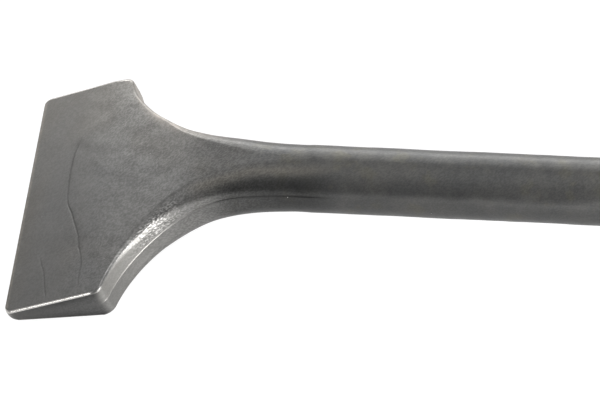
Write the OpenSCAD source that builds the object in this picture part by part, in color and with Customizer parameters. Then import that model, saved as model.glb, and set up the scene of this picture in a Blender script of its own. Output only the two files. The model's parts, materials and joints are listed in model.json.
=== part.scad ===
// Wide cold chisel: one steel forging with a cranked blade, and a slip-on hand guard.
// The origin is the centre of the struck face. +X points out of the struck end along the shank,
// +Y runs across the blade, and +Z is the upper side, which the blade is bent down from.
// A station is a distance along the tool, measured from the cutting edge.

/* [Blade] */
// Width across the blade
blade_width = 75; // [64:1:80]
// Station where the blade's straight sides end and its rear corners begin
blade_side_len = 26; // [22:0.5:30]
// Thickness that the two wide faces would leave at the cutting edge
edge_thickness = 3.9; // [3:0.1:4.5]
// Angle between the two wide faces, in degrees
wedge_angle = 14.4; // [13:0.2:16]
// Angle that the blade is bent down from the shank, in degrees
crank_angle = 17.4; // [10:0.2:20]
// Station at the middle of the bend
bend_centre = 58.4; // [56:0.2:62]
// Length of tool that the bend takes up
bend_len = 21.6; // [14:0.2:24]
// Plan radius of the corners at the cutting edge
edge_corner_r = 2.2; // [1.4:0.1:2.3]
// Plan radius of the rear corners
rear_corner_r = 3; // [1.5:0.25:5]
// Radius of the long edges between the wide faces and the sides
long_edge_r = 0.6; // [0.4:0.1:1.2]
// Height ground away under the cutting edge
bevel_height = 1.4; // [0.5:0.1:1.5]
// Length of the ground bevel under the cutting edge
bevel_len = 2.8; // [2.4:0.1:5]
// Slope of the flared sides away from the parting line, in degrees
draft_angle = 2.6; // [0:0.2:5]

/* [Shank] */
// Length from the cutting edge to the struck face
overall_len = 300; // [290:5:340]
// Diameter of the bar
shank_d = 18; // [17.5:0.5:18.5]
// Station where the flared neck reaches the bar's diameter
neck_end = 78.4; // [76:0.2:84]
// Radius of the long shallow arc where the neck runs out into the bar
tail_r = 150; // [120:5:200]
// Angle that the shallow arc turns through, in degrees
tail_angle = 7.4; // [4:0.2:9]
// Diameter of the turned seat that the guard slides on
seat_d = 17; // [16.5:0.1:17]
// Length of the turned seat and the tapered head behind it
seat_len = 135; // [130:1:140]
// Length of the tapered head
head_len = 16; // [12:1:18]
// Diameter at the small end of the tapered head
head_d = 13.6; // [12:0.2:15]
// Diameter of the flat struck face
face_d = 11.4; // [9:0.2:11.8]

/* [Guard] */
// Length of the guard's hard core
guard_len = 112; // [108:1:114]
// Outside diameter of the core's barrel
barrel_d = 25; // [24:0.5:26]
// Outside diameter of the core's nose collar
collar_d = 29; // [28:0.5:30]
// Outside diameter of the hand grip, between its ribs
grip_d = 32.4; // [31:0.2:34]
// Height of the ribs around the hand grip
rib_height = 1.2; // [0.6:0.1:1.6]
// Number of ribs around the hand grip
rib_count = 13; // [9:1:13]
// Diameter of the shield plate across its rounded corners
shield_d = 68; // [64:1:70]
// Width of the shield plate across its flats
shield_flats = 60; // [56:1:62]
// Thickness of the shield plate
shield_t = 5; // [4:0.5:5.5]
// Width that the soft rim stands out past the shield plate
rim_out = 3; // [2:0.25:3.25]
// Diameter of the cord of the retaining rings
ring_cord_d = 1.96; // [1.9:0.02:1.96]

/* [Hidden] */
$fn = 96;

shank_r = shank_d / 2;
seat_r = seat_d / 2;
seat_start = overall_len - seat_len;
shoulder_chamfer = 0.3;

// Plan outline: three tangent arcs. The rear corner runs into the flare, the flare into a long
// tail arc, and the tail meets the bar at neck_end.
tail_rise = tail_r * (1 - cos(tail_angle));
tail_start = neck_end - tail_r * sin(tail_angle);
flare_run = tail_start - blade_side_len;
flare_fall = blade_width / 2 - rear_corner_r - shank_r - tail_rise;
flare_r = (pow(flare_run, 2) + pow(flare_fall, 2) - pow(rear_corner_r, 2))
    / (2 * (rear_corner_r - flare_run * sin(tail_angle) + flare_fall * cos(tail_angle)));
flare_centre = tail_start + flare_r * sin(tail_angle);
flare_centre_y = shank_r + tail_rise + flare_r * cos(tail_angle);
corner_angle = asin((flare_centre - blade_side_len) / (flare_r + rear_corner_r));

// Side view: a circular bend between the straight blade and the straight shank
bend_r = bend_len * 180 / (PI * crank_angle);
bend_start = bend_centre - bend_len / 2;
bend_end = bend_centre + bend_len / 2;
nose_round = 0.3;
nose_reach = (edge_thickness / 2 - nose_round) * sin(crank_angle);
bend_end_x = nose_reach + bend_start * cos(crank_angle) + bend_r * sin(crank_angle);

// The lofted blade ends a little inside the bar, so that only the bar's own surface shows there
bar_start = max(neck_end, bend_end) + 1;
bar_start_x = bend_end_x + bar_start - bend_end;
loft_overlap = 1.5;
loft_inset = 0.03;
face_blend = 1.6;
edge_growth = 0.84;
draft_fade = 0.25;
corner_steps = 7;
flare_steps = 14;
tail_steps = 4;

// Guard layout along the shank
seat_gap = 0.1;
bore_clearance = 0.05;
guard_start = seat_start + seat_gap;
guard_end = guard_start + guard_len;
hub_len = 9;
hub_d = 30;
hub_round = 2.5;
shield_start = guard_end - hub_len - shield_t;
collar_len = 7;
collar_chamfer = 2;
grip_start = guard_start + collar_len;
cone_len = 5;
cone_d = 44;
grip_end = shield_start - cone_len;
grip_round = 1.8;
groove_w = 3.2;
ring_clearance = 0.02;
groove_r = seat_r + ring_cord_d + 2 * ring_clearance;
ring_stations = [guard_start + 15, guard_start + 90];
rim_side = 1.5;
rim_lip = 3;

// Half width of the outline at station s
function half_width(s) =
    s < edge_corner_r ?
        blade_width / 2 - edge_corner_r + sqrt(pow(edge_corner_r, 2) - pow(edge_corner_r - s, 2))
    : s <= blade_side_len ? blade_width / 2
    : s < blade_side_len + rear_corner_r * sin(corner_angle) ?
        blade_width / 2 - rear_corner_r + sqrt(pow(rear_corner_r, 2) - pow(s - blade_side_len, 2))
    : s < tail_start ? flare_centre_y - sqrt(pow(flare_r, 2) - pow(flare_centre - s, 2))
    : s < neck_end ? shank_r + tail_r - sqrt(pow(tail_r, 2) - pow(neck_end - s, 2))
    : shank_r;

// Smaller of a and b, with a smooth change from one to the other over about k
function smooth_min(a, b, k) = (a + b - sqrt(pow(a - b, 2) + pow(k, 2))) / 2;

// Half thickness at station s: the wedge, until it reaches the bar
function half_thickness(s) =
    smooth_min(edge_thickness / 2 + s * tan(wedge_angle / 2), shank_r, face_blend);

// How far station s is along the flare, from 0 at the blade to 1 at the bar
function flare_part(s) = min(1, max(0, (s - blade_side_len) / (neck_end - blade_side_len)));

// Radius of the section's corners at station s
function section_corner_r(s) =
    min(long_edge_r + (shank_r - long_edge_r) * pow(flare_part(s), edge_growth),
        half_thickness(s), half_width(s));

// Slope of the sides away from the parting line, which fades out at both ends of the flare
function side_slope(s) =
    tan(draft_angle) * min(1, flare_part(s) / draft_fade) * (1 - flare_part(s));

// Bend angle left at station s
function tilt(s) = crank_angle * min(1, max(0, (bend_end - s) / bend_len));

// Centre line at station s, as [x, z] with x from the cutting edge
function centre_x(s) = bend_end_x - bend_r * sin(tilt(s)) - max(0, bend_start - s) * cos(crank_angle)
    + max(0, s - bend_end);
function centre_z(s) = -bend_r * (1 - cos(tilt(s))) - max(0, bend_start - s) * sin(crank_angle);

// Section outline at station s, as [across, up] pairs, counted round from the +Y side
function section(s) =
    let (w = half_width(s), h = half_thickness(s), r = section_corner_r(s),
         low = bevel_height * max(0, 1 - s / bevel_len),
         high = nose_round * max(0, 1 - s / (2 * nose_round)),
         shrink = s < bar_start ? 1 : 1 - loft_inset / shank_r)
    [for (quarter = [0:3])
        let (sy = quarter == 0 || quarter == 3 ? 1 : -1, sz = quarter < 2 ? 1 : -1)
        for (i = [0:corner_steps])
            let (a = quarter * 90 + i * 90 / corner_steps,
                 up = sz * (h - r) + r * sin(a),
                 across = sy * (w - r) + r * cos(a) - sy * side_slope(s) * abs(up))
            shrink * [across, up + (sz < 0 ? low : -high)]];

// Stations of the sections: nose, straight sides, rear corner, flare, tail and bar
stations = concat(
    [0, 2 * nose_round, edge_corner_r / 2, edge_corner_r, bevel_len],
    [for (i = [1:3]) bevel_len + (blade_side_len - bevel_len) * i / 3],
    [for (i = [1:4]) blade_side_len + rear_corner_r * sin(corner_angle * i / 4)],
    [for (i = [1:flare_steps])
        flare_centre - flare_r * sin(corner_angle + (tail_angle - corner_angle) * i / flare_steps)],
    [for (i = [1:tail_steps]) neck_end - tail_r * sin(tail_angle * (1 - i / tail_steps))],
    [bar_start, bar_start + loft_overlap]);

loft_points = [for (s = stations, p = section(s))
    [centre_x(s) - p[1] * sin(tilt(s)), p[0], centre_z(s) + p[1] * cos(tilt(s))]];

ring_count = 4 * (corner_steps + 1);
last_ring = len(stations) - 1;
loft_faces = concat(
    [[for (j = [0:ring_count - 1]) j]],
    [for (i = [0:last_ring - 1], j = [0:ring_count - 1])
        let (k = (j + 1) % ring_count, a = i * ring_count, b = a + ring_count)
        [a + j, b + j, b + k]],
    [for (i = [0:last_ring - 1], j = [0:ring_count - 1])
        let (k = (j + 1) % ring_count, a = i * ring_count, b = a + ring_count)
        [a + j, b + k, a + k]],
    [[for (j = [ring_count - 1:-1:0]) last_ring * ring_count + j]]);

// Moves a shape drawn from the cutting edge to the tool's own origin
module from_edge() {
    translate([-overall_len, 0, 0]) children();
}

// Body of revolution about the shank, from [station, radius] points
module turned(points) {
    rotate([0, 90, 0])
        rotate_extrude()
            polygon([for (p = points) [p[1], p[0]]]);
}

// Square outline with large arcs for corners, which keeps the tool from rolling
module shield_outline(across_corners, across_flats) {
    intersection() {
        circle(d = across_corners);
        square(across_flats, center = true);
    }
}

// Shield-shaped plate that starts at a station along the shank
module shield_plate(station, thickness, across_corners, across_flats) {
    translate([station, 0, 0])
        rotate([0, 90, 0])
            linear_extrude(height = thickness) shield_outline(across_corners, across_flats);
}

// Steel forging: cranked wedge blade, flared neck, round shank, guard seat and struck head
module forged_chisel() {
    color("dimgray")
        from_edge() {
            polyhedron(points = loft_points, faces = loft_faces, convexity = 6);
            turned([
                [bar_start_x, 0],
                [bar_start_x, shank_r],
                [seat_start - shoulder_chamfer, shank_r],
                [seat_start, shank_r - shoulder_chamfer],
                [seat_start, seat_r],
                [overall_len - head_len, seat_r],
                [overall_len - (head_d - face_d) / 2, head_d / 2],
                [overall_len, face_d / 2],
                [overall_len, 0]]);
        }
}

// Hard plastic core: nose collar, barrel under the grip, shield plate and rear hub
module guard_core() {
    bore_r = seat_r + bore_clearance;
    color("#26282a")
        from_edge()
            difference() {
                union() {
                    turned([
                        [guard_start, 0],
                        [guard_start, collar_d / 2 - collar_chamfer],
                        [guard_start + collar_chamfer, collar_d / 2],
                        [grip_start, collar_d / 2],
                        [grip_start, barrel_d / 2],
                        [grip_end, barrel_d / 2],
                        [shield_start, cone_d / 2],
                        [shield_start + shield_t, cone_d / 2],
                        [shield_start + shield_t, hub_d / 2],
                        [guard_end - hub_round, hub_d / 2],
                        [guard_end, hub_d / 2 - hub_round],
                        [guard_end, 0]]);
                    shield_plate(shield_start, shield_t, shield_d, shield_flats);
                }
                translate([guard_start - 1, 0, 0])
                    rotate([0, 90, 0])
                        cylinder(h = guard_len + 2, r = bore_r);
                for (station = ring_stations)
                    translate([station - groove_w / 2, 0, 0])
                        rotate([0, 90, 0])
                            cylinder(h = groove_w, r = groove_r);
            }
}

// Soft ribbed sleeve moulded over the core's barrel
module guard_grip() {
    grip_len = grip_end - grip_start;
    rib_pitch = grip_len / (rib_count + 1);
    rib_top = 0.28 * rib_pitch;
    rib_foot = 0.5 * rib_pitch;
    color("#3c3f42")
        from_edge()
            turned(concat(
                [[grip_start, barrel_d / 2], [grip_start, grip_d / 2 - grip_round],
                 [grip_start + grip_round, grip_d / 2]],
                [for (i = [1:rib_count])
                    let (mid = grip_start + i * rib_pitch)
                    for (p = [[-rib_foot, 0], [-rib_top, 1], [rib_top, 1], [rib_foot, 0]])
                        [mid + p[0] / 2, grip_d / 2 + p[1] * rib_height]],
                [[grip_end - grip_round, grip_d / 2], [grip_end, grip_d / 2 - grip_round],
                 [grip_end, barrel_d / 2]]));
}

// Soft bumper that wraps the edge of the shield plate
module guard_rim() {
    color("#3c3f42")
        from_edge()
            difference() {
                shield_plate(shield_start - rim_side, shield_t + 2 * rim_side,
                    shield_d + 2 * rim_out, shield_flats + 2 * rim_out);
                shield_plate(shield_start - rim_side - 1, shield_t + 2 * rim_side + 2,
                    shield_d - 2 * rim_lip, shield_flats - 2 * rim_lip);
                shield_plate(shield_start, shield_t, shield_d, shield_flats);
            }
}

// Two rubber rings in the core's bore that hold the guard on the shank
module grip_rings() {
    color("#151515")
        from_edge()
            for (station = ring_stations)
                translate([station, 0, 0])
                    rotate([0, 90, 0])
                        rotate_extrude()
                            translate([seat_r + ring_clearance + ring_cord_d / 2, 0])
                                circle(d = ring_cord_d, $fn = 32);
}

forged_chisel();
guard_core();
guard_grip();
guard_rim();
grip_rings();
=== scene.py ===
"""Looks of a wide cold chisel with a slip-on hand guard.

The forging and the guard's pieces are rebuilt as dense meshes inside the frame's box, then get
procedural materials. Design lengths are in millimetres and meshes are in metres. A station is a
distance along the tool from its cutting edge, and "up" in a section is square to the centre line.
The near side is the one that faces the main camera, at negative y.
"""

import json
import math

import bpy
import numpy as np
from mathutils import Matrix, Vector


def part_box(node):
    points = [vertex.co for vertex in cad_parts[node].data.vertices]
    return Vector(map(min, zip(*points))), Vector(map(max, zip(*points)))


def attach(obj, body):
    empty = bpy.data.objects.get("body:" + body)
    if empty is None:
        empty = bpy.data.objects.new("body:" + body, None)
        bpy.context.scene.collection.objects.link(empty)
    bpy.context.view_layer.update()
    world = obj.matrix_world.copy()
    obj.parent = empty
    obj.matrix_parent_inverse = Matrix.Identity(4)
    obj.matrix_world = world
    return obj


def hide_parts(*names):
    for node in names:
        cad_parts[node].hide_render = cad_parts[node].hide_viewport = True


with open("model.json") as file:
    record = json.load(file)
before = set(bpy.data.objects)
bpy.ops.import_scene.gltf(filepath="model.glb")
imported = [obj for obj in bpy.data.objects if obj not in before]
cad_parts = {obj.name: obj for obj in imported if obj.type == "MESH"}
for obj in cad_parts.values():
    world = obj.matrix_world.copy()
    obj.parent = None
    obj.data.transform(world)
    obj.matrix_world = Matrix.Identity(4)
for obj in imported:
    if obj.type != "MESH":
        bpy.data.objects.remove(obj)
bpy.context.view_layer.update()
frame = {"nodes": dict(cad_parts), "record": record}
MM = 0.001

# ---------------------------------------------------------------- driving dimensions, in mm

MOUNTS = {mount["name"]: mount for mount in frame["record"]["mounts"]}
BOX = {node: [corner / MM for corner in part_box(node)] for node in frame["nodes"]}
TOOL_LEN = 300.0
BLADE_W = BOX["forged_chisel"][1].y - BOX["forged_chisel"][0].y
SHANK_R = MOUNTS["bare_shank"]["dims"]["r_mm"]

# Blade and neck, as the part's design has them
SIDE_LEN = 26.0
EDGE_T = 3.9
HALF_WEDGE = math.radians(7.2)
CRANK = math.radians(17.4)
BEND_CENTRE = 58.4
BEND_LEN = 21.6
EDGE_CORNER_R = 2.2
REAR_CORNER_R = 3.0
BEVEL_H = 1.4
BEVEL_LEN = 2.8
DRAFT = math.tan(math.radians(2.6))
DRAFT_FADE = 0.25        # share of the flare over which the draft comes in
NECK_END = 78.4
TAIL_R = 150.0
TAIL_ANGLE = math.radians(7.4)
NOSE_ROUND = 0.3
FACE_BLEND = 1.6
EDGE_GROWTH = 0.84       # how fast the long edges round off along the flare

# Wear and trimming of the real blade, in this skin only
LONG_EDGE_R = 0.8        # of the blade's long edges, a little rounder than designed
NEAR, FAR = -1, 1        # sides of the tool, as signs of y
UPPER, LOWER = 1, -1     # its faces, as signs of z
FAR_CORNER_WEAR = {UPPER: 0.9, LOWER: 3.2}   # extra radius of both far edges at the rear corner
FAR_TRIM = 0.5           # how far the far flare's outline is moved along the tool
FAR_TRIM_AT = 30.0       # station where that makes it narrower
FAR_SWELL_AT = 41.0      # station where it makes it fuller
FAR_EDGE_WEAR = 0.4      # bare metal on the far edges, as a share of that on the near ones
HEAD_WEAR = 0.3
SKIN_INSET = 0.03        # keeps the finer skin inside the frame's box
MAIN_CREASE_AT = 13.0    # station of the main crease on the middle line
SIDE_CREASE_AT = (8.7, -21.7)   # station and across of a point on the small crease
SIDE_CREASE_SLANT = 0.27
CREASE_HALF_W = 0.3
CREASE_DEPTH = 0.05
GROUND_DEPTH = 0.03      # recess of the blade in front of the main crease
SCALE_DEPTH = 0.05
RIDGE_H = 0.17
RIDGE_HALF_W = 0.2
RIDGE_RISE = 2.8         # how far the ridge climbs above the centre line
DIE_STEP = 0.05          # half the step between the two die halves
PARTING_DEPTH = 0.06
PARTING_HALF_W = 0.25

# Shank and head
SEAT_START = 165.0
SEAT_R = 8.5
HEAD_START = 284.0
HEAD_R = 6.8
HEAD_CHAMFER = 1.1
FACE_R = 5.7
FACE_DISH = 0.02

# Guard
CORE_START = TOOL_LEN + BOX["guard_core"][0].x
CORE_END = TOOL_LEN + BOX["guard_core"][1].x
GRIP_START = TOOL_LEN + BOX["guard_grip"][0].x
GRIP_END = TOOL_LEN + BOX["guard_grip"][1].x
GRIP_TOP_R = BOX["guard_grip"][1].z
RIM_START = TOOL_LEN + BOX["guard_rim"][0].x
RIM_END = TOOL_LEN + BOX["guard_rim"][1].x
RIM_FLAT = BOX["guard_rim"][1].z
BORE_R = 8.55
BORE_FLARE = 0.5
COLLAR_R = 14.5
BARREL_R = 12.5
HUB_R = 15.0
CONE_R = 22.0
PLATE_FLAT = 30.0
CORNER_EXTRA = 4.0
PLATE_R = PLATE_FLAT + CORNER_EXTRA
RIM_SIDE = 1.5
RIM_LIP = 3.0
PLATE_START = RIM_START + RIM_SIDE
PLATE_END = RIM_END - RIM_SIDE
RIB_H = 1.2
RIB_COUNT = 13
GAP = 0.02               # between pieces moulded onto each other
RING_CORD_R = 0.98
FLASH_H = 0.02           # height of a ring's flash line
RING_STATIONS = (TOOL_LEN + BOX["grip_rings"][0].x + RING_CORD_R,
                 TOOL_LEN + BOX["grip_rings"][1].x - RING_CORD_R)
RING_GROOVE_R = SEAT_R + 2 * RING_CORD_R + 0.04
RING_GROOVE_HALF_W = 1.6

# ---------------------------------------------------------------- mesh helpers


def ring_mesh(name, rings, loop=False):
    """A smooth mesh from rings of points, in mm from the cutting edge.

    loop joins the last ring to the first. Otherwise both ends are closed.
    """
    rings = np.asarray(rings, float)
    count, size = rings.shape[:2]
    points = rings.reshape(-1, 3) - [TOOL_LEN, 0, 0]
    first = np.arange(count if loop else count - 1)[:, None] * size
    second = (first + size) % (count * size)
    here = np.arange(size)[None, :]
    there = (here + 1) % size
    quads = np.stack([first + here, first + there, second + there, second + here], -1).reshape(-1, 4)
    faces = quads.tolist()
    if not loop:
        faces.append(list(range(size))[::-1])
        faces.append(list(range((count - 1) * size, count * size)))
    mesh = bpy.data.meshes.new(name)
    mesh.from_pydata((points * MM).tolist(), [], faces)
    mesh.validate()
    mesh.shade_smooth()
    piece = bpy.data.objects.new(name, mesh)
    bpy.context.scene.collection.objects.link(piece)
    return piece


def point_values(piece, name, values):
    """Stores one number per mesh point for the materials to read."""
    attribute = piece.data.attributes.new(name, "FLOAT", "POINT")
    attribute.data.foreach_set("value", np.asarray(values, np.float32).ravel())


def rounded_corners(corners, steps):
    """Points through (x, r, fillet, ...) corners, each rounded by its fillet in that many steps."""
    points = [np.delete(corners[0], 2)]
    for before, corner, after in zip(corners, corners[1:], corners[2:]):
        here = np.delete(corner, 2)
        if corner[2] == 0:
            points.append(here)
            continue
        ends = []
        for other in (before, after):
            away = np.delete(other, 2) - here
            length = np.hypot(away[0], away[1])
            ends.append(here + away * min(corner[2], 0.49 * length) / max(length, 1e-9))
        for t in np.linspace(0, 1, steps + 1):
            points.append((1 - t) ** 2 * ends[0] + 2 * t * (1 - t) * here + t * t * ends[1])
    points.append(np.delete(corners[-1], 2))
    return points


def rounded_path(corners, longest=2.0, steps=6):
    """Dense path through (x, r, fillet, ...) corners, with no piece over the longest length."""
    points = rounded_corners([np.asarray(corner, float) for corner in corners], steps)
    dense = [points[0]]
    for here, there in zip(points, points[1:]):
        parts = max(1, math.ceil(np.hypot(*(there - here)[:2]) / longest))
        dense += [here + (there - here) * i / parts for i in range(1, parts + 1)]
    return np.array(dense)


def smooth_min(a, b, k):
    return (a + b - np.sqrt((a - b) ** 2 + k * k)) / 2


def fade(x, start, end):
    """0 before start, 1 after end, smooth between. start may be greater than end."""
    t = np.clip((x - start) / (end - start), 0, 1)
    return t * t * (3 - 2 * t)


def band(x, half_width):
    """1 at x = 0, falling off on both sides within about that half width."""
    return np.exp(-(x / half_width) ** 2)


def waves(points, size, seed, count=14):
    """Smooth wandering value, about -1 to 1, with features of roughly that size in mm."""
    rng = np.random.default_rng(seed)
    directions = rng.normal(size=(count, 3))
    directions /= np.linalg.norm(directions, axis=1)[:, None]
    pitch = size * rng.uniform(0.7, 1.6, count)
    phase = rng.uniform(0, 2 * math.pi, count)
    total = np.zeros(points.shape[:-1])
    for direction, length, start in zip(directions, pitch, phase):
        total += np.sin(points @ direction * 2 * math.pi / length + start)
    return total / math.sqrt(count)


# ---------------------------------------------------------------- the forging: outline and centre line

# The flare is an arc that leaves the rear corner's arc and meets the neck's tail arc
TAIL_RISE = TAIL_R * (1 - math.cos(TAIL_ANGLE))
TAIL_START = NECK_END - TAIL_R * math.sin(TAIL_ANGLE)
FLARE_RUN = TAIL_START - SIDE_LEN
FLARE_FALL = BLADE_W / 2 - REAR_CORNER_R - SHANK_R - TAIL_RISE
FLARE_R = (FLARE_RUN ** 2 + FLARE_FALL ** 2 - REAR_CORNER_R ** 2) / (
    2 * (REAR_CORNER_R - FLARE_RUN * math.sin(TAIL_ANGLE) + FLARE_FALL * math.cos(TAIL_ANGLE)))
FLARE_X = TAIL_START + FLARE_R * math.sin(TAIL_ANGLE)
FLARE_Y = SHANK_R + TAIL_RISE + FLARE_R * math.cos(TAIL_ANGLE)
CORNER_ANGLE = math.asin((FLARE_X - SIDE_LEN) / (FLARE_R + REAR_CORNER_R))
CORNER_END = SIDE_LEN + REAR_CORNER_R * math.sin(CORNER_ANGLE)

BEND_R = BEND_LEN / CRANK
BEND_START = BEND_CENTRE - BEND_LEN / 2
BEND_END = BEND_CENTRE + BEND_LEN / 2
BEND_END_X = ((EDGE_T / 2 - NOSE_ROUND) * math.sin(CRANK) + BEND_START * math.cos(CRANK)
              + BEND_R * math.sin(CRANK) + SKIN_INSET)
LOFT_END = NECK_END + 1
BAR_X = BEND_END_X + LOFT_END - BEND_END


def half_width(s):
    if s < EDGE_CORNER_R:
        return BLADE_W / 2 - EDGE_CORNER_R + math.sqrt(EDGE_CORNER_R ** 2 - (EDGE_CORNER_R - s) ** 2)
    if s <= SIDE_LEN:
        return BLADE_W / 2
    if s < CORNER_END:
        return BLADE_W / 2 - REAR_CORNER_R + math.sqrt(REAR_CORNER_R ** 2 - (s - SIDE_LEN) ** 2)
    if s < TAIL_START:
        return FLARE_Y - math.sqrt(FLARE_R ** 2 - (FLARE_X - s) ** 2)
    if s < NECK_END:
        return SHANK_R + TAIL_R - math.sqrt(TAIL_R ** 2 - (NECK_END - s) ** 2)
    return SHANK_R


def side_width(s, side):
    """Half width on one side. The far flare is trimmed a little deeper at its corner and fuller after it."""
    if side == NEAR:
        return half_width(s)
    return half_width(s + FAR_TRIM * (band(s - FAR_TRIM_AT, 2.8) - band(s - FAR_SWELL_AT, 6)))


def half_height(s):
    return smooth_min(EDGE_T / 2 + s * math.tan(HALF_WEDGE), SHANK_R, FACE_BLEND)


def flare_part(s):
    """0 where the flare leaves the blade, 1 at the end of the neck."""
    return min(1.0, max(0.0, (s - SIDE_LEN) / (NECK_END - SIDE_LEN)))


def edge_radius(s, side, face):
    """Radius of one long edge. Both far ones are worn at the rear corner, and the upper one grows later."""
    worn = FAR_CORNER_WEAR[face] * fade(s, 22, 28) * fade(s, 42, 33) if side == FAR else 0.0
    growth = fade(s, 34, 73) if (side, face) == (FAR, UPPER) else flare_part(s) ** EDGE_GROWTH
    return LONG_EDGE_R + worn + (SHANK_R - LONG_EDGE_R) * growth


def centre_line(s):
    """(x, z, tilt) of the bent centre line at station s."""
    tilt = CRANK * min(1.0, max(0.0, (BEND_END - s) / BEND_LEN))
    lead = max(0.0, BEND_START - s)
    x = BEND_END_X - BEND_R * math.sin(tilt) - lead * math.cos(CRANK) + max(0.0, s - BEND_END)
    z = -BEND_R * (1 - math.cos(tilt)) - lead * math.sin(CRANK)
    return x, z, tilt


def ridge_height(s):
    """Height of the parting ridge above the centre line. It climbs on its way to the neck."""
    return RIDGE_RISE * fade(s, SIDE_LEN + 6, NECK_END - 16)


# ---------------------------------------------------------------- the forging: sections

QUARTER = 72         # points from the parting line to the middle of a wide face
CORNER_SHARE = 0.28  # share of them that goes round the corner
BESIDE_SHARE = 0.12  # share of them just beside the corner
BESIDE_W = 0.6
RIDGE_SHARE = 0.16   # share of them close to the parting ridge
RIDGE_W = 0.3
SIDE_STEPS, ARC_STEPS, FLAT_STEPS = 40, 48, 60   # fine steps from which those points are picked


def quarter_outline(w, h, r):
    """Half of one side, one corner and half of one face, as fine points and the angle each faces."""
    side = np.linspace(0, 1, SIDE_STEPS)[:, None] * [0, h - r] + [w, 0]
    angle = np.linspace(0, math.pi / 2, ARC_STEPS)
    arc = np.stack([w - r + r * np.cos(angle), h - r + r * np.sin(angle)], 1)
    flat = np.linspace(0, 1, FLAT_STEPS)[:, None] * [r - w, 0] + [w - r, h]
    facing = np.concatenate([np.zeros(SIDE_STEPS), angle, np.full(FLAT_STEPS, math.pi / 2)])
    return np.concatenate([side, arc, flat]), facing


def quarter_section(w, h, r, ridge):
    """(across, up, facing, sharpness) of a quarter section, with its points closest where it bends."""
    curve, turn = quarter_outline(w, h, r)
    step = np.hypot(*np.diff(curve, axis=0).T)
    travel = np.cumsum(step)
    corner_start = travel[SIDE_STEPS - 1]
    corner_end = travel[SIDE_STEPS + ARC_STEPS - 2]
    from_corner = np.maximum(0, np.maximum(corner_start - travel, travel - corner_end))
    beside = step * band(from_corner, BESIDE_W)
    near_ridge = step * band((curve[1:, 1] + curve[:-1, 1]) / 2 - ridge, RIDGE_W)
    shares = ((1 - CORNER_SHARE - BESIDE_SHARE - RIDGE_SHARE) * step / step.sum()
              + CORNER_SHARE * np.diff(turn) / (math.pi / 2)
              + BESIDE_SHARE * beside / beside.sum()
              + RIDGE_SHARE * near_ridge / near_ridge.sum())
    along = np.concatenate([[0], np.cumsum(shares)]) + 1e-9 * np.arange(len(curve))
    pick = np.linspace(0, along[-1], QUARTER + 1)
    across, up, facing = (np.interp(pick, along, values) for values in (curve[:, 0], curve[:, 1], turn))
    return across, up, facing, np.minimum(1, 1.5 * np.sin(2 * facing) ** 2)


def section(s):
    """Across, up, both parts of the outward direction, and sharpness, all round the section at s."""
    part = flare_part(s)
    slope = DRAFT * min(1.0, part / DRAFT_FADE) * (1 - part)
    nose = max(0.0, 1 - s / NOSE_ROUND)
    top = float(half_height(s)) - NOSE_ROUND * (1 - math.sqrt(1 - nose * nose))
    under_bevel = BEVEL_H * max(0.0, 1 - s / BEVEL_LEN)
    quarters = []
    for side, face in ((FAR, UPPER), (NEAR, UPPER), (NEAR, LOWER), (FAR, LOWER)):
        w = side_width(s, side)
        h = top if face == UPPER else top - under_bevel
        r = min(edge_radius(s, side, face), h, w)
        across, up, facing, sharp = quarter_section(w, h, r, face * ridge_height(s))
        if side == FAR:
            sharp = sharp * FAR_EDGE_WEAR * fade(s, 25, 17)
        quarter = np.stack([side * (across - slope * up), face * up,
                            side * np.cos(facing), face * np.sin(facing), sharp])
        ordered = quarter if side == face else quarter[:, ::-1]
        quarters.append(ordered[:, :-1])
    return np.concatenate(quarters, 1)


# ---------------------------------------------------------------- the forging: rings


def blade_ring(s):
    """One ring of the blade or neck, and what the relief and the materials need to know of its points."""
    across, up, sideways, facing, sharp = section(s)
    x, z, tilt = centre_line(s)
    return {
        "points": np.stack([x - up * math.sin(tilt), across, z + up * math.cos(tilt)], 1),
        "outward": np.stack([-facing * math.sin(tilt), sideways, facing * math.cos(tilt)], 1),
        "station": np.full(len(up), s),
        "across": across,
        "up": up,
        "facing": facing,
        "wear": sharp * fade(s, 0, NOSE_ROUND) * fade(s, SIDE_LEN + 2, SIDE_LEN - 3),
        "width": np.full(len(up), half_width(s)),
    }


def bar_ring(x, r, angle):
    """One round ring of the bar, with its points at the given angles."""
    size = len(angle)
    return {
        "points": np.stack([np.full(size, x), r * np.cos(angle), r * np.sin(angle)], 1),
        "outward": np.stack([np.zeros(size), np.cos(angle), np.sin(angle)], 1),
        "station": np.full(size, x + LOFT_END - BAR_X),
        "across": r * np.cos(angle),
        "up": r * np.sin(angle),
        "facing": np.sin(angle),
        "wear": np.full(size, HEAD_WEAR * fade(x, TOOL_LEN - HEAD_CHAMFER - 0.3, TOOL_LEN - 0.9)),
        "width": np.full(size, SHANK_R),
    }


def blade_stations():
    """Stations of the rings, close together at the nose, the creases, the corners and the ridge."""
    nose = NOSE_ROUND * (1 - np.cos(np.linspace(0, math.pi / 2, 6)))
    corner = EDGE_CORNER_R * (1 - np.cos(np.linspace(0.45, math.pi / 2, 9)))
    rear = SIDE_LEN + REAR_CORNER_R * np.sin(np.linspace(0, CORNER_ANGLE, 14))
    bevel = np.arange(NOSE_ROUND, BEVEL_LEN + 0.6, 0.25)
    creased = np.arange(3.6, 22.4, 0.2)
    sides = np.arange(22.4, SIDE_LEN, 0.5)
    flare = np.arange(CORNER_END, 60, 0.42)
    neck = np.arange(60, LOFT_END, 0.7)
    stations = np.concatenate([nose, corner, bevel, creased, sides, rear, flare, neck, [LOFT_END]])
    return np.unique(stations.round(4))


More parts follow.
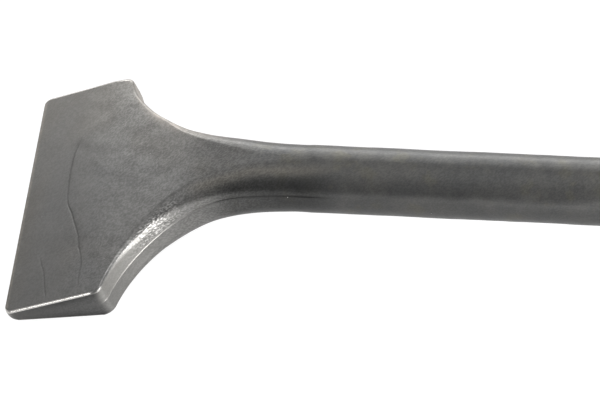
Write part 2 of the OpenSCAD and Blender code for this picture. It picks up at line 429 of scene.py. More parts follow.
def bar_path():
    """(x, r) along the shank, its seat for the guard and the struck head."""
    return rounded_path([
        (BAR_X, SHANK_R, 0), (SEAT_START - 0.3, SHANK_R, 0.25), (SEAT_START, SHANK_R - 0.3, 0.15),
        (SEAT_START, SEAT_R, 0.15), (HEAD_START, SEAT_R, 1.5), (TOOL_LEN - HEAD_CHAMFER, HEAD_R, 0.8),
        (TOOL_LEN, FACE_R, 0.6), (TOOL_LEN - FACE_DISH, 0.6 * FACE_R, 1.0),
        (TOOL_LEN - FACE_DISH / 2, 0.3, 0)], 1.2)


def forging_surface():
    """All rings of the forging, as one array for each thing that a ring knows."""
    rings = [blade_ring(s) for s in blade_stations()]
    last = rings[-1]["points"]
    angle = np.arctan2(last[:, 2], last[:, 1])
    rings += [bar_ring(x, r, angle) for x, r in bar_path()[1:]]
    return {key: np.array([ring[key] for ring in rings]) for key in rings[0]}


# ---------------------------------------------------------------- the forging: relief


def creases(station, across):
    """Two forging creases over the blade's upper face, each as (distance from its line, depth 0 to 1)."""
    wander = 0.2 * np.sin(across / 2.6) + 0.1 * np.sin(across / 1.4 + 1)
    main_line = MAIN_CREASE_AT + 1.5 * fade(across, 6, 20) + 8.5 * fade(across, 4, -28) + wander
    side_line = SIDE_CREASE_AT[0] + SIDE_CREASE_SLANT * (SIDE_CREASE_AT[1] - across) + wander
    main_depth = fade(across, 21, 13) * fade(across, -36, -28)
    side_depth = 0.6 * fade(across, -20, -24) * fade(across, -36.5, -34)
    return (station - main_line, main_depth), (station - side_line, side_depth)


def on_top(skin):
    """1 on the blade's upper face."""
    return fade(skin["facing"], 0.9, 0.99) * fade(skin["station"], 0.5, 2)


def on_flare(skin):
    station = skin["station"]
    return fade(station, SIDE_LEN, SIDE_LEN + 4) * fade(station, NECK_END + 16, NECK_END - 14)


def on_parting_line(skin):
    """1 along the neck, where the trimmed ridge turns into a fine groove."""
    return fade(skin["station"], 47, 58) * fade(skin["station"], NECK_END + 10, NECK_END + 1)


def off_ridge(skin):
    """Distance above the parting ridge."""
    return skin["up"] - ridge_height(skin["station"])


def parting_relief(skin):
    """Parting ridge on both flares, a small step between the die halves, and the groove that follows."""
    gap = off_ridge(skin)
    ridge = RIDGE_H * band(gap, RIDGE_HALF_W) - DIE_STEP * (1 + np.tanh(-gap / 0.12))
    groove = PARTING_DEPTH * on_parting_line(skin) * band(gap, PARTING_HALF_W)
    return on_flare(skin) * ridge * fade(skin["station"], NECK_END, 58) - groove


def scale_relief(skin):
    """Uneven forged skin, calm where the blade is ground and gone where the guard slides."""
    forged = fade(skin["station"], 6, 22) * fade(skin["station"], SEAT_START - 4, SEAT_START - 14)
    uneven = np.tanh(0.9 * waves(skin["points"], 14, 3) + 0.4 * waves(skin["points"], 5, 5)) - 1
    return SCALE_DEPTH * forged * uneven


def crease_relief(skin):
    """Both creases, and the slightly lower ground part in front of the main one."""
    main, side = creases(skin["station"], skin["across"])
    grooves = sum(depth * band(gap, CREASE_HALF_W) for gap, depth in (main, side))
    ground = fade(main[0], 6, -6) * fade(skin["station"], 0.3, 2.5)
    return -on_top(skin) * (CREASE_DEPTH * grooves + GROUND_DEPTH * ground)


# ---------------------------------------------------------------- the forging: values for its material


def edge_values(skin):
    """Straight sides, with painted shade that is darkest just below the long edge, and the bevel and nose of
    the blade.
    """
    station, facing = skin["station"], skin["facing"]
    side = fade(np.abs(facing), 0.3, 0.1) * fade(station, SIDE_LEN + 3, SIDE_LEN) * fade(station, 1, 3)
    below_edge = half_height(station) - LONG_EDGE_R - np.abs(skin["up"])
    bevel = fade(facing, -0.5, -0.8) * fade(station, BEVEL_LEN + 0.15, BEVEL_LEN - 0.1)
    return {
        "edge_wear": np.clip(skin["wear"], 0, 1),
        # painted shade over the straight sides, darkest just below the long edge
        "side": side,
        "below_edge": side * band(below_edge, 1.5) * fade(station, 2, 20),
        "bevel": np.maximum(bevel, fade(station, NOSE_ROUND, 0)),
        "lip": fade(station, 1.3, 0.6) * fade(station, 0, NOSE_ROUND) * (facing > 0),
    }


def crease_values(skin):
    main, side = creases(skin["station"], skin["across"])
    return {
        "crease_gap": main[0],
        "crease_depth": on_top(skin) * main[1],
        "side_crease_gap": side[0],
        "side_crease_depth": on_top(skin) * side[1],
    }


def flare_values(skin):
    """Flanks of the flares with their sparkle of painted glints, the parting ridge with painted shade in its
    groove, and the rim and wall of the far flare, which get painted light.
    """
    station, facing, gap = skin["station"], skin["facing"], off_ridge(skin)
    flank = fade(np.abs(facing), 0.75, 0.35) * fade(station, SIDE_LEN - 0.5, SIDE_LEN + 1.5)
    # rim of the far flare: beige tint and painted light in the colour, duller roughness
    far_rim = band(skin["width"] - skin["across"], 2.6) * fade(station, 25, 30) * fade(station, 100, 50)
    sparkle = fade(station, 33, 40) * fade(station, 50, 41) * fade(gap, 0.3, 1.2)
    return {
        "flank": flank * fade(station, 55, 33) * (0.6 + 0.4 * fade(gap, -0.3, 0.3)),
        "far_rim": far_rim * fade(skin["up"], -4, 0),
        # painted light on the wall of the far flare
        "far_wall_light": flank * fade(skin["across"], 10, 20),
        # where painted glints and painted pit shade go, and the bump is strongest
        "sparkle": sparkle * fade(facing, 0.93, 0.75),
        "ridge": on_flare(skin) * band(gap, 0.22) * fade(station, 60, 46),
        # painted shade along the parting groove
        "parting": on_parting_line(skin) * band(gap, 0.3),
    }


def neck_values(skin):
    """Painted shade in the hollow over the neck, on the lower flank and under the ridge, and a paler stripe
    in the hollow.
    """
    station, facing, gap = skin["station"], skin["facing"], off_ridge(skin)
    stripe = band(skin["across"] - np.interp(station, (52, 66, 84), (-9.0, -4.8, -3.6)), 1.3)
    # painted shade on the lower flanks of the neck and bar
    neck_flank_shade = fade(facing, 0.5, 0.25) * fade(facing, -0.75, -0.35) * fade(station, 56, 76)
    # painted shadow in a strip under the parting ridge
    painted_shadow_under_ridge = fade(gap, 0.0, -0.3) * fade(station, SIDE_LEN, SIDE_LEN + 3) * fade(station, 66, 50)
    painted_shadow_under_ridge *= 0.2 + 0.25 * np.exp(gap / 1.5)
    return {
        # painted shade in the concave bend over the neck
        "hollow": fade(station, 52, 61) * fade(station, 90, 78) * fade(np.abs(facing), 0.97, 0.7),
        "neck_stripe": stripe * fade(station, 48, 54) * fade(station, 92, 76) * (skin["up"] > 0),
        "lower": np.maximum(neck_flank_shade, painted_shadow_under_ridge),
    }


def forged_chisel():
    """One closed skin: ground nose, wide faces, flares with a parting ridge, bar, seat and struck head."""
    skin = forging_surface()
    push = parting_relief(skin) + scale_relief(skin) + crease_relief(skin)
    piece = ring_mesh("forged_chisel_skin", skin["points"] + skin["outward"] * push[..., None])
    values = {"station": skin["station"], "across": skin["across"]}
    for group in (edge_values, crease_values, flare_values, neck_values):
        values.update(group(skin))
    for name, numbers in values.items():
        point_values(piece, name, numbers)
    return piece


# ---------------------------------------------------------------- the guard

AROUND = 192
ANGLES = np.linspace(0, 2 * math.pi, AROUND, endpoint=False)


def plate_radius(corner_r):
    """Distance from the axis to the shield's outline, for a shield of that radius at its corners."""
    flat = (corner_r - CORNER_EXTRA) / np.maximum(np.abs(np.cos(ANGLES)), np.abs(np.sin(ANGLES)))
    return smooth_min(corner_r, flat, 0.5)


def round_ring(x, radii):
    return np.stack([np.full(AROUND, x), radii * np.cos(ANGLES), radii * np.sin(ANGLES)], 1)


def turned_rings(path, change=None):
    """Rings along a path of (x, r, squareness). change(x, radii) may alter a ring's radii."""
    rings = []
    for x, r, square in path:
        radii = (1 - square) * r + square * plate_radius(r)
        if change:
            radii = change(x, radii)
        rings.append(round_ring(x, radii))
    return rings


def core_outside():
    """Corners (x, r, fillet, squareness) of the core: collar, barrel, cone and shield."""
    step_in = PLATE_R - RIM_LIP - 0.4
    return [
        (CORE_START, BORE_R + BORE_FLARE, 0, 0), (CORE_START, COLLAR_R, 2.4, 0),
        (GRIP_START - 0.15, COLLAR_R, 0.5, 0), (GRIP_START - 0.15, BARREL_R - 0.1, 0, 0),
        (GRIP_END + 0.1, BARREL_R - 0.1, 1.0, 0), (PLATE_START, CONE_R, 2.0, 0),
        (PLATE_START, step_in, 0.3, 1), (PLATE_START, PLATE_R - 0.1, 0.3, 1),
        (PLATE_END, PLATE_R - 0.1, 0.3, 1), (PLATE_END, step_in, 0.3, 1)]


def core_hub():
    """Corners of the hub behind the shield, with a fine groove in its end, up to the bore."""
    groove_x = CORE_END - 0.5
    return [
        (PLATE_END, HUB_R + 1.5, 0.4, 0), (PLATE_END, HUB_R, 1.2, 0), (CORE_END, HUB_R - 1.0, 2.6, 0),
        (CORE_END, HUB_R - 4.2, 0.25, 0), (groove_x, HUB_R - 4.4, 0.2, 0),
        (groove_x, HUB_R - 5.0, 0.2, 0), (CORE_END, HUB_R - 5.2, 0.25, 0),
        (CORE_END, BORE_R + BORE_FLARE, 0.4, 0), (CORE_END - BORE_FLARE, BORE_R, 0.2, 0)]


def core_bore():
    """Corners of the bore from back to front, with a groove for each rubber ring."""
    corners = []
    for middle in reversed(RING_STATIONS):
        back, front = middle + RING_GROOVE_HALF_W, middle - RING_GROOVE_HALF_W
        corners += [(back, BORE_R, 0, 0), (back, RING_GROOVE_R, 0, 0)]
        corners += [(front, RING_GROOVE_R, 0, 0), (front, BORE_R, 0, 0)]
    return corners + [(CORE_START + BORE_FLARE, BORE_R, 0.2, 0), (CORE_START, BORE_R + BORE_FLARE, 0, 0)]


def guard_core():
    corners = core_outside() + core_hub() + core_bore()
    return ring_mesh("guard_core_moulding", turned_rings(rounded_path(corners, 1.6)[:-1]), loop=True)


def guard_grip():
    """Soft sleeve: rounded ribs, broken by four shallow channels, with a fine mould seam on each side."""
    length = GRIP_END - GRIP_START
    pitch = length / (RIB_COUNT + 1)
    base = GRIP_TOP_R - RIB_H
    front, back = GRIP_START + GAP, GRIP_END - GAP
    inside = BARREL_R + 0.05
    outer = rounded_path([(front, inside, 0, 0), (front, base, 1.9, 0), (back, base, 1.9, 0),
                          (back, inside, 0, 0)], 0.34, 8)
    inner = rounded_path([(back, inside, 0, 0), (front, inside, 0, 0)], 6)
    channel = band(np.sin(2 * (ANGLES - math.pi / 4)), 0.16)
    seam = 0.16 * (np.abs(np.sin(ANGLES)) < 0.01)

    def ribbed(x, radii):
        if radii[0] < base - 0.6:
            return radii
        along = (x - GRIP_START) / length
        place = (x - GRIP_START) / pitch
        index = round(place)
        swell = 0.45 * (2 * along - 1) ** 2
        if not 1 <= index <= RIB_COUNT:
            return radii - swell + seam
        rib = fade(abs(place - index), 0.31, 0.15)
        return radii - swell + rib * RIB_H * (1 - 0.8 * channel) + seam * (1 - rib)

    return ring_mesh("guard_grip_sleeve", turned_rings([*outer, *inner[1:-1]], ribbed), loop=True)


def guard_rim():
    """Soft bumper with a rounded outer edge, a groove round its face and lips over the plate."""
    outer_r = RIM_FLAT + CORNER_EXTRA
    groove_r = outer_r - 0.5
    lip_r = PLATE_R - RIM_LIP
    front, back = PLATE_START - 0.03, PLATE_END + 0.03
    corners = [
        (front, lip_r, 0, 1), (RIM_START, lip_r + 0.2, 0.7, 1), (RIM_START, outer_r, 2.6, 1),
        (RIM_START + 3.2, outer_r, 0.2, 1), (RIM_START + 3.5, groove_r, 0.2, 1),
        (RIM_END - 3.5, groove_r, 0.2, 1), (RIM_END - 3.2, outer_r, 0.2, 1),
        (RIM_END, outer_r, 2.6, 1), (RIM_END, lip_r + 0.2, 0.7, 1), (back, lip_r, 0.1, 1),
        (back, PLATE_R, 0, 1), (front, PLATE_R, 0, 1), (front, lip_r, 0, 1)]
    return ring_mesh("guard_rim_bumper", turned_rings(rounded_path(corners, 1.0)[:-1]), loop=True)


def grip_ring(station, name):
    """One rubber ring, with the fine flash line that its mould leaves."""
    middle_r = BOX["grip_rings"][1].z - RING_CORD_R
    rings = []
    for turn in np.linspace(0, 2 * math.pi, 40, endpoint=False):
        cord = RING_CORD_R - FLASH_H + FLASH_H * band(math.sin(turn), 0.12)
        rings.append(round_ring(station + cord * math.sin(turn), middle_r + cord * math.cos(turn)))
    return ring_mesh(name, rings, loop=True)


# ---------------------------------------------------------------- node helpers

MIX_AMOUNT, MIX_FIRST, MIX_SECOND, MIX_RESULT = 0, 6, 7, 2   # sockets of a mix node in its colour mode


class Nodes:
    """Short way to write the nodes of a new material or world.

    A value may be a number, a tuple or another node's output.
    """

    def __init__(self, owner):
        owner.use_nodes = True
        self.owner = owner
        self.tree = owner.node_tree
        self.place = self.add("ShaderNodeTexCoord").outputs["Object"]

    def add(self, kind, settings=None, **values):
        node = self.tree.nodes.new(kind)
        for key, value in (settings or {}).items():
            setattr(node, key, value)
        for key, value in values.items():
            self.put(node, key.replace("_", " "), value)
        return node

    def put(self, node, key, value):
        socket = node.inputs[key]
        if isinstance(value, bpy.types.NodeSocket):
            self.tree.links.new(value, socket)
        else:
            socket.default_value = value

    def attribute(self, name):
        return self.add("ShaderNodeAttribute", {"attribute_name": name}).outputs["Fac"]

    def stretch(self, x=1.0, y=1.0, z=1.0, turn=0.0):
        """Coordinates that lengthen features by x, y and z, along axes turned by that angle about Z."""
        node = self.add("ShaderNodeMapping", {"vector_type": "TEXTURE"}, Vector=self.place)
        node.inputs["Scale"].default_value = (x, y, z)
        node.inputs["Rotation"].default_value = (0.0, 0.0, turn)
        return node.outputs["Vector"]

    def noise(self, size, detail=2.0, rough=0.5, at=None, seed=0.0):
        """Cloudy value 0 to 1, with features of about that size in mm."""
        node = self.add("ShaderNodeTexNoise", {"noise_dimensions": "4D"}, Vector=at or self.place)
        settings = {"Scale": 1 / (size * MM), "Detail": detail, "Roughness": rough, "W": seed}
        for key, number in settings.items():
            self.put(node, key, number)
        return node.outputs["Fac"]

    def patches(self, low, high, size, detail=2.0, rough=0.5, at=None, seed=0.0):
        """Noise spread out, so that it is 0 below low and 1 above high."""
        return self.span(self.noise(size, detail, rough, at, seed), low, high)

    def cells(self, size, feature="F1"):
        """Cell pattern with cells of about that size in mm."""
        scale = 1 / (size * MM)
        return self.add("ShaderNodeTexVoronoi", {"feature": feature}, Vector=self.place, Scale=scale)

    def math(self, operation, a, b=0.0, c=0.0):
        node = self.tree.nodes.new("ShaderNodeMath")
        node.operation = operation
        for index, value in enumerate((a, b, c)):
            self.put(node, index, value)
        return node.outputs[0]

    def times(self, a, b):
        return self.math("MULTIPLY", a, b)

    def times_plus(self, a, b, c):
        return self.math("MULTIPLY_ADD", a, b, c)

    def span(self, value, low, high, out_low=0.0, out_high=1.0):
        """Maps low..high to out_low..out_high with soft ends."""
        node = self.add("ShaderNodeMapRange", {"interpolation_type": "SMOOTHSTEP"}, Value=value)
        ends = {"From Min": low, "From Max": high, "To Min": out_low, "To Max": out_high}
        for key, number in ends.items():
            self.put(node, key, number)
        return node.outputs["Result"]

    def mix(self, amount, first, second, blend="MIX"):
        node = self.add("ShaderNodeMix", {"data_type": "RGBA", "blend_type": blend})
        self.put(node, MIX_AMOUNT, amount)
        for index, colour in ((MIX_FIRST, first), (MIX_SECOND, second)):
            self.put(node, index, colour if isinstance(colour, bpy.types.NodeSocket) else (*colour, 1.0))
        return node.outputs[MIX_RESULT]

    def wash(self, colour, tone, where, strength):
        """The colour with that tone over it, at that strength where the value is 1."""
        return self.mix(self.times(where, strength), colour, tone)

    def bump(self, height, depth, onto=None):
        """Fine relief of that depth in mm."""
        node = self.add("ShaderNodeBump", Height=height, Strength=1.0, Distance=depth * MM)
        if onto:
            self.put(node, "Normal", onto)
        return node.outputs["Normal"]

    def finish(self, colour, rough, normal, metal=0.0, specular=0.5):
        """Puts the values into the material's shader and returns the material."""
        shader = self.tree.nodes["Principled BSDF"]
        for key, value in (("Base Color", colour), ("Roughness", rough), ("Normal", normal),
                           ("Metallic", metal), ("Specular IOR Level", specular)):
            self.put(shader, key, value)
        return self.owner


def new_material(name):
    return Nodes(bpy.data.materials.new(name))


# ---------------------------------------------------------------- forged steel

SCALE_TONES = ((0.242, 0.24, 0.234), (0.257, 0.254, 0.247))
FAR_TONE = (0.362, 0.352, 0.332)
BROWN_TONE = (0.235, 0.213, 0.182)
BLUE_TONE = (0.188, 0.198, 0.212)
FLANK_TONE = (0.335, 0.325, 0.305)
# painted shade on the straight sides and just below the long edge
SIDE_SHADE_TONE = (0.08, 0.08, 0.079)
SHADE_TONE = (0.05, 0.05, 0.05)
BAR_TONES = ((0.084, 0.086, 0.087), (0.12, 0.119, 0.114))
OLIVE_TONE = (0.138, 0.131, 0.098)
# painted shade over the neck, on the lower flanks and under the ridge
HOLLOW_SHADE_TONE = (0.045, 0.045, 0.044)
LOWER_SHADE_TONE = (0.03, 0.03, 0.03)
NECK_STRIPE_TONE = (0.25, 0.232, 0.198)
# painted shade in the scale's pits and painted glints on its crests
PAINTED_PIT_SHADE_TONE = (0.09, 0.09, 0.088)
PAINTED_GLINT_TONE = (0.68, 0.67, 0.65)
HEAT_TONE = (0.2, 0.178, 0.142)
STREAK_TONE = (0.32, 0.31, 0.285)
LIP_TONE = (0.4, 0.375, 0.33)
BEVEL_TONE = (0.5, 0.49, 0.47)
# painted shade in the forging creases
CREASE_SHADE_TONE = (0.07, 0.068, 0.064)
# painted shade in the parting groove
PARTING_SHADE_TONE = (0.03, 0.03, 0.029)
# beige tint and painted light on the far flare's rim
FAR_RIM_TINT_AND_LIGHT_TONE = (0.5, 0.455, 0.41)
# painted light on the far flare's wall
FAR_WALL_LIGHT_TONE = (0.74, 0.7, 0.65)
BARE_TONE = (0.74, 0.72, 0.69)


def scale_colour(n, station):
    """Slow drifts of grey, brown and blue over the scale, paler towards the far side of the blade."""
    colour = n.mix(n.patches(0.3, 0.7, 19, 3, 0.55, seed=1.0), *SCALE_TONES)
    far_side = n.times(n.span(n.attribute("across"), 0, 36), n.span(station, 0, 30, 0.3, 0.8))
    colour = n.mix(far_side, colour, FAR_TONE)
    colour = n.wash(colour, BROWN_TONE, n.patches(0.45, 0.74, 24, seed=3.0), 0.24)
    return n.wash(colour, BLUE_TONE, n.patches(0.5, 0.74, 27, seed=4.0), 0.2)


def bar_colour(n):
    """Darker scale of the bar, with olive patches."""
    tone = n.mix(n.patches(0.35, 0.65, 7, 4, 0.65, seed=11.0), *BAR_TONES)
    return n.wash(tone, OLIVE_TONE, n.patches(0.52, 0.66, 6, 3, 0.6, seed=13.0), 0.55)


def zone_colour(n, colour, station):
    """Tones of the flanks, the bar and the neck's paler stripe, and painted shade on the blade's sides, over
    the neck and on the lower flanks.
    """
    colour = n.wash(colour, FLANK_TONE, n.attribute("flank"), 0.6)
    # painted shade on the straight sides, darkest just below the long edge
    colour = n.wash(colour, SIDE_SHADE_TONE, n.attribute("side"), 0.7)
    colour = n.wash(colour, SHADE_TONE, n.attribute("below_edge"), 0.7)
    colour = n.wash(colour, bar_colour(n), n.span(station, 44, 76), 0.75)
    # painted shade in the hollow over the neck
    colour = n.wash(colour, HOLLOW_SHADE_TONE, n.attribute("hollow"), 0.6)
    # painted shade on the lower flanks and painted shadow under the ridge
    colour = n.wash(colour, LOWER_SHADE_TONE, n.attribute("lower"), 0.4)
    return n.wash(colour, NECK_STRIPE_TONE, n.attribute("neck_stripe"), 0.45)


def scale_grain(n):
    """Height of the pebbled scale, drawn out along the flow of the forging."""
    flow = n.stretch(2.0, 0.85, 1.0, math.radians(37))
    fine = n.noise(0.38, 2, 0.55, flow, seed=2.0)
    return n.times_plus(n.noise(1.2, 2, 0.5, flow, seed=12.0), 0.25, fine)


def grain_strength(n, station):
    """Strongest on the rear of the blade, weak beside the cutting edge, on the flanks and on the bar."""
    along = n.times(n.span(station, 10, 34, 0.4, 1.0), n.span(station, 56, 84, 1.0, 0.5))
    return n.times(along, n.span(n.attribute("flank"), 0.0, 0.8, 1.0, 0.35))


def grain_colour(n, colour, station, grain, strength):
    """Painted light on the scale's crests and painted shade in its pits, with painted glints and darker
    painted pits on the upper flank.
    """
    # painted light and shade: crests paler, pits darker, the front of the blade a little darker
    crest = n.span(grain, 0.5, 0.76)
    shade = n.times_plus(crest, n.times(strength, 0.42), n.times_plus(strength, -0.21, 1.0))
    shade = n.times(shade, n.span(station, 12, 34, 0.87, 1.0))
    colour = n.mix(1.0, colour, shade, "MULTIPLY")
    sparkle = n.attribute("sparkle")
    # painted shade in the pits and painted glints on the crests of the upper flank
    colour = n.wash(colour, PAINTED_PIT_SHADE_TONE, sparkle, n.span(grain, 0.6, 0.48, 0.0, 0.7))
    return n.wash(colour, PAINTED_GLINT_TONE, sparkle, n.span(grain, 0.64, 0.76))


def edge_colour(n, colour, near_edge, streak):
    """Heat tint and grinding streaks beside the cutting edge, its lip and its ground bevel."""
    tint = n.times(near_edge, n.patches(0.3, 0.7, 16, seed=6.0))
    colour = n.wash(colour, HEAT_TONE, tint, 0.25)
    colour = n.wash(colour, STREAK_TONE, near_edge, n.span(streak, 0.5, 0.8, 0, 0.25))
    lip = n.span(n.noise(1.6, 3, 0.6, seed=15.0), 0.35, 0.65, 0.25, 0.7)
    colour = n.wash(colour, LIP_TONE, n.attribute("lip"), lip)
    return n.wash(colour, BEVEL_TONE, n.attribute("bevel"), 0.85)


def crease_lines(n):
    """1 along the thin folds of both forging creases, where painted shade darkens them."""
    wander = n.span(n.noise(2.0, 1, seed=14.0), 0.2, 0.8, -0.12, 0.12)
    lines = 0.0
    for name in ("crease", "side_crease"):
        gap = n.math("ABSOLUTE", n.math("ADD", n.attribute(name + "_gap"), wander))
        fold = n.times(n.span(gap, 0.42, 0.06), n.attribute(name + "_depth"))
        lines = n.math("MAXIMUM", lines, fold)
    return lines


def specks(n):
    """A few bright specks, in some of the cells of a coarse cell pattern."""
    cells = n.cells(4.2)
    speck = n.math("LESS_THAN", cells.outputs["Distance"], 0.03)
    draw = n.add("ShaderNodeSeparateColor", Color=cells.outputs["Color"]).outputs["Red"]
    return n.times(speck, n.times(n.math("GREATER_THAN", draw, 0.78), 0.7))


def bare_metal(n, wear):
    """Where handling and the trimming die have broken through the scale, from 0 to 1."""
    patchy = n.patches(0.32, 0.55, 1.2, 4, 0.65, seed=7.0)
    edges = n.times(n.span(wear, 0.08, 0.6), n.times_plus(patchy, 0.35, 0.65))
    ridge = n.times(n.attribute("ridge"), n.times_plus(patchy, 0.2, 0.1))
    return n.math("MAXIMUM", n.math("MAXIMUM", edges, ridge), specks(n))


def wear_and_painted_light_colour(n, colour, wear):
    """Beige tint and painted light on the far flare's rim, painted light on its wall, and bare metal."""
    # beige tint on the far rim, with painted light that grows paler towards its outline
    rim = n.span(n.noise(1.4, 3, 0.65, seed=16.0), 0.35, 0.62, 0.35, 0.9)
    colour = n.wash(colour, FAR_RIM_TINT_AND_LIGHT_TONE, n.attribute("far_rim"), rim)
    # painted light on the far flare's wall
    colour = n.wash(colour, FAR_WALL_LIGHT_TONE, n.attribute("far_wall_light"), 0.6)
    return n.mix(bare_metal(n, wear), colour, BARE_TONE)


def steel_roughness(n, station, wear):
    """Satin scale, duller on the bar, along the far rim and on the flanks, smoother where worn."""
    rough = n.span(n.noise(3.0, 3, 0.6, seed=8.0), 0.3, 0.7, 0.29, 0.33)
    rough = n.math("ADD", rough, n.span(station, 62, 90, 0.0, 0.04))
    rough = n.times_plus(n.attribute("far_rim"), 0.14, rough)
    rough = n.times_plus(n.attribute("flank"), 0.14, rough)
    return n.times_plus(wear, -0.06, rough)


def forged_steel():
    """Dark heat-treated steel: grained scale, faint tints, grinding by the edge, bright worn edges, and
    painted light and shade in places.
    """
    n = new_material("forged_steel_dark")
    station = n.attribute("station")
    wear = n.attribute("edge_wear")
    grain = scale_grain(n)
    strength = grain_strength(n, station)
    near_edge = n.span(station, 9, 0.5)
    streak = n.noise(0.9, at=n.stretch(3.3, 0.2, 3.3), seed=5.0)
    grinding = n.noise(0.5, rough=0.6, at=n.stretch(12.0, 1.0, 12.0), seed=17.0)
    crease = crease_lines(n)

    colour = zone_colour(n, scale_colour(n, station), station)
    colour = grain_colour(n, colour, station, grain, strength)
    colour = edge_colour(n, colour, near_edge, streak)
    # painted shade in the creases
    colour = n.wash(colour, CREASE_SHADE_TONE, crease, 0.33)
    # painted shade in the parting groove on the neck
    colour = n.wash(colour, PARTING_SHADE_TONE, n.attribute("parting"), 0.75)
    colour = wear_and_painted_light_colour(n, colour, wear)

    pebbles = n.times(grain, n.times_plus(n.attribute("sparkle"), 3.0, strength))
    normal = n.bump(pebbles, 0.03)
    normal = n.bump(n.times(streak, near_edge), 0.002, normal)
    normal = n.bump(n.times(crease, -1.0), 0.05, normal)
    normal = n.bump(n.times(grinding, n.attribute("bevel")), 0.012, normal)
    return n.finish(colour, steel_roughness(n, station, wear), normal, metal=0.9)


# ---------------------------------------------------------------- plastic and rubber

PLASTIC_TONES = ((0.011, 0.0115, 0.0125), (0.019, 0.0195, 0.021))
SCUFF_TONE = (0.11, 0.11, 0.112)
GRIP_TONES = ((0.052, 0.055, 0.058), (0.075, 0.078, 0.081))
DUST_TONE = (0.16, 0.155, 0.145)
RING_TONES = ((0.012, 0.012, 0.013), (0.05, 0.05, 0.052))


def moulded_plastic():
    """Black hard plastic with a spark-eroded mould texture and light scuffs."""
    n = new_material("guard_plastic_black")
    cloud = n.noise(12, 3, 0.6, seed=1.0)
    colour = n.mix(n.span(cloud, 0.3, 0.7), *PLASTIC_TONES)
    scuff = n.patches(0.64, 0.78, 1.2, 3, 0.6, n.stretch(1, 0.25, 1), seed=2.0)
    colour = n.wash(colour, SCUFF_TONE, scuff, 0.35)
    rough = n.times_plus(scuff, 0.12, n.span(cloud, 0.3, 0.7, 0.36, 0.44))
    return n.finish(colour, rough, n.bump(n.noise(0.35, 3, 0.6, seed=3.0), 0.02), specular=0.4)


def soft_rubber():
    """Charcoal elastomer with a fine orange-peel skin and patches of dust."""
    n = new_material("grip_rubber_charcoal")
    colour = n.mix(n.patches(0.3, 0.7, 9, 4, 0.6, seed=1.0), *GRIP_TONES)
    colour = n.wash(colour, DUST_TONE, n.patches(0.58, 0.74, 2.2, 4, 0.7, seed=2.0), 0.3)
    rough = n.span(n.noise(4, 3, 0.6, seed=3.0), 0.3, 0.7, 0.62, 0.78)
    peel = n.math("ADD", n.noise(0.5, 3, 0.6, seed=4.0), n.cells(0.8, "SMOOTH_F1").outputs["Distance"])
    return n.finish(colour, rough, n.bump(peel, 0.025), specular=0.4)


def ring_rubber():
    """Black ring rubber with a faint bloom."""
    n = new_material("ring_rubber_black")
    bloom = n.span(n.noise(1.5, 3, 0.6, seed=1.0), 0.5, 0.8, 0, 0.4)
    rough = n.span(n.noise(0.8, seed=2.0), 0.3, 0.7, 0.42, 0.6)
    return n.finish(n.mix(bloom, *RING_TONES), rough, n.bump(n.noise(0.2), 0.006))


# ---------------------------------------------------------------- pieces onto the frame


def install(pieces, node, body, material):
    for piece in pieces:
        piece.data.materials.append(material)
        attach(piece, body)
        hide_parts(node)


rubber = soft_rubber()
install([forged_chisel()], "forged_chisel", "chisel", forged_steel())
install([guard_core()], "guard_core", "guard", moulded_plastic())
install([guard_grip()], "guard_grip", "guard", rubber)
install([guard_rim()], "guard_rim", "guard", rubber)
rings = [grip_ring(RING_STATIONS[0], "grip_ring_front"), grip_ring(RING_STATIONS[1], "grip_ring_rear")]
install(rings, "grip_rings", "rings", ring_rubber())

# ---------------------------------------------------------------- floor, light and camera

VIEW_AZIMUTH = 2.5                # degrees
VIEW_ELEVATION = 50.6
VIEW_ROLL = math.radians(0.65)
VIEW_DISTANCE = 0.6066
SENSOR_WIDTH = 36
FOCAL = 3.833                     # focal length over the frame's width
LOOK_POINT = Vector((-0.2, 0, 0))
LOOK_RIGHT, LOOK_UP = 0.1559, 0.0295   # of the look point from the frame's centre, in frame widths

FLOOR_HALF = 4.0
FLOOR_GAP = 0.0002
FLOOR_LIT = 0.12                  # light of its own, which keeps the shadows pale
FLOOR_GLOW = 1.15                 # brightness that only the camera sees
FLOOR_GLOW_SHARE = 0.8
FLOOR_TONE = (0.9, 0.9, 0.9, 1.0)
WHITE = (1.0, 1.0, 1.0, 1.0)

# Distant lights: azimuth, elevation and width in degrees, and strength
SOFTBOXES = (
    (120, 8, 26, 0.8),       # low behind the blade
    (90, 8, 26, 0.34),       # low behind the shank
    (90, 30, 40, 0.42),      # wide, behind
    (0, 55, 30, 0.56),       # high above the struck end
    (300, 8, 26, 0.08),      # faint, low in front
)
# Lit panels close to the tool: place, target, size and power
PANELS = (
    ((0.03, -0.2, 0.035), (-0.26, -0.02, 0), (0.22, 0.12), 0.8),             # for the near flank
    ((-0.51, -0.305, 0.16), (-0.28, -0.037, -0.01), (0.16, 0.16), 0.3),      # for the near blade edge
)

scene = bpy.context.scene
scene.view_settings.view_transform = "Standard"


def direction(azimuth, elevation):
    """Unit vector from angles in degrees. Azimuth runs from +X towards +Y."""
    a, e = math.radians(azimuth), math.radians(elevation)
    return Vector((math.cos(a) * math.cos(e), math.sin(a) * math.cos(e), math.sin(e)))


def put_in_scene(name, data):
    thing = bpy.data.objects.new(name, data)
    scene.collection.objects.link(thing)
    return thing


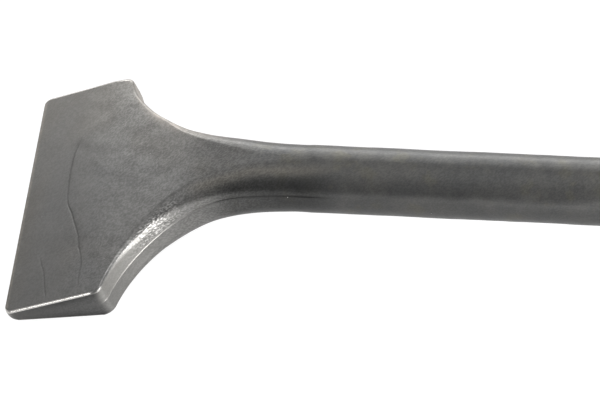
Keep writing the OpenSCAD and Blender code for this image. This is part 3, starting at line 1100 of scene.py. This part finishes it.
def floor_material():
    """Pale matt floor. The camera sees most of it replaced by a plain glow, so that it stays even."""
    n = new_material("pale_floor")
    material = n.finish(FLOOR_TONE, 0.8, n.bump(n.noise(5), 0.001), specular=0.2)
    shader = n.tree.nodes["Principled BSDF"]
    n.put(shader, "Emission Color", WHITE)
    n.put(shader, "Emission Strength", FLOOR_LIT)
    glow = n.add("ShaderNodeEmission", Strength=FLOOR_GLOW)
    seen = n.add("ShaderNodeLightPath").outputs["Is Camera Ray"]
    surface = n.add("ShaderNodeMixShader", Fac=n.times(seen, FLOOR_GLOW_SHARE))
    n.put(surface, 1, shader.outputs[0])
    n.put(surface, 2, glow.outputs[0])
    n.put(n.tree.nodes["Material Output"], "Surface", surface.outputs[0])
    return material


def floor():
    """Plane that the blade's heel and the guard's rim both rest on."""
    rim_low = Vector(((RIM_END - TOOL_LEN) * MM, 0, -RIM_FLAT * MM))
    x, z, tilt = centre_line(BEVEL_LEN)
    under = EDGE_T / 2 + BEVEL_LEN * math.tan(HALF_WEDGE)
    heel = Vector(((x + under * math.sin(tilt) - TOOL_LEN) * MM, 0, (z - under * math.cos(tilt)) * MM))
    corners = [(x, y, 0) for x, y in ((-1, -1), (1, -1), (1, 1), (-1, 1))]
    mesh = bpy.data.meshes.new("floor")
    mesh.from_pydata([[FLOOR_HALF * value for value in corner] for corner in corners], [], [(0, 1, 2, 3)])
    mesh.materials.append(floor_material())
    plane = put_in_scene("floor", mesh)
    plane.rotation_euler.y = -math.atan2(rim_low.z - heel.z, rim_low.x - heel.x)
    plane.location = heel - Vector((0, 0, FLOOR_GAP))


def room(low, high, front_dark):
    """Pale room of strength low, rising to low + high overhead and sinking towards the camera's side."""
    world = bpy.data.worlds.new("pale_room")
    scene.world = world
    n = Nodes(world)
    around = n.add("ShaderNodeTexCoord").outputs["Generated"]
    towards = n.add("ShaderNodeSeparateXYZ", Vector=around)
    up = n.math("POWER", n.math("MAXIMUM", towards.outputs["Z"], 0.0), 2.0)
    front = n.math("POWER", n.math("MAXIMUM", n.times(towards.outputs["Y"], -1.0), 0.0), 2.0)
    light = n.times_plus(up, high, n.times_plus(front, -front_dark, low))
    seen = n.add("ShaderNodeLightPath").outputs["Is Camera Ray"]
    background = n.tree.nodes["Background"]
    n.put(background, "Color", WHITE)
    n.put(background, "Strength", n.math("MAXIMUM", light, seen))


def softbox(azimuth, elevation, width, strength):
    """Distant soft light."""
    data = bpy.data.lights.new("softbox", "SUN")
    data.angle = math.radians(width)
    data.energy = strength
    light = put_in_scene("softbox", data)
    light.rotation_euler = direction(azimuth, elevation).to_track_quat("Z", "Y").to_euler()


def panel(place, target, size, power):
    """Low lit panel close to the tool, which the camera doesn't see."""
    data = bpy.data.lights.new("panel", "AREA")
    data.shape = "RECTANGLE"
    data.size, data.size_y = size
    data.energy = power
    light = put_in_scene("panel", data)
    light.location = place
    light.rotation_euler = (Vector(place) - Vector(target)).to_track_quat("Z", "Y").to_euler()
    light.visible_camera = False


def camera():
    """Looks down on the blade from the front, with the shank running out of the frame on the right."""
    back = direction(VIEW_AZIMUTH - 90, VIEW_ELEVATION)
    level = direction(VIEW_AZIMUTH, 0)
    upright = back.cross(level)
    right = math.cos(VIEW_ROLL) * level + math.sin(VIEW_ROLL) * upright
    up = math.cos(VIEW_ROLL) * upright - math.sin(VIEW_ROLL) * level
    aim = (-back - right * LOOK_RIGHT / FOCAL - up * LOOK_UP / FOCAL).normalized()
    side = aim.cross(up).normalized()
    data = bpy.data.cameras.new("main_view")
    data.sensor_width = SENSOR_WIDTH
    data.lens = SENSOR_WIDTH * FOCAL
    data.clip_start = 0.01
    view = put_in_scene("main_view", data)
    view.rotation_mode = "QUATERNION"
    view.location = LOOK_POINT + back * VIEW_DISTANCE
    view.rotation_quaternion = Matrix((side, side.cross(aim), -aim)).transposed().to_quaternion()
    scene.camera = view


floor()
room(0.25, 0.4, 0.2)
for light in SOFTBOXES:
    softbox(*light)
for light in PANELS:
    panel(*light)
camera()
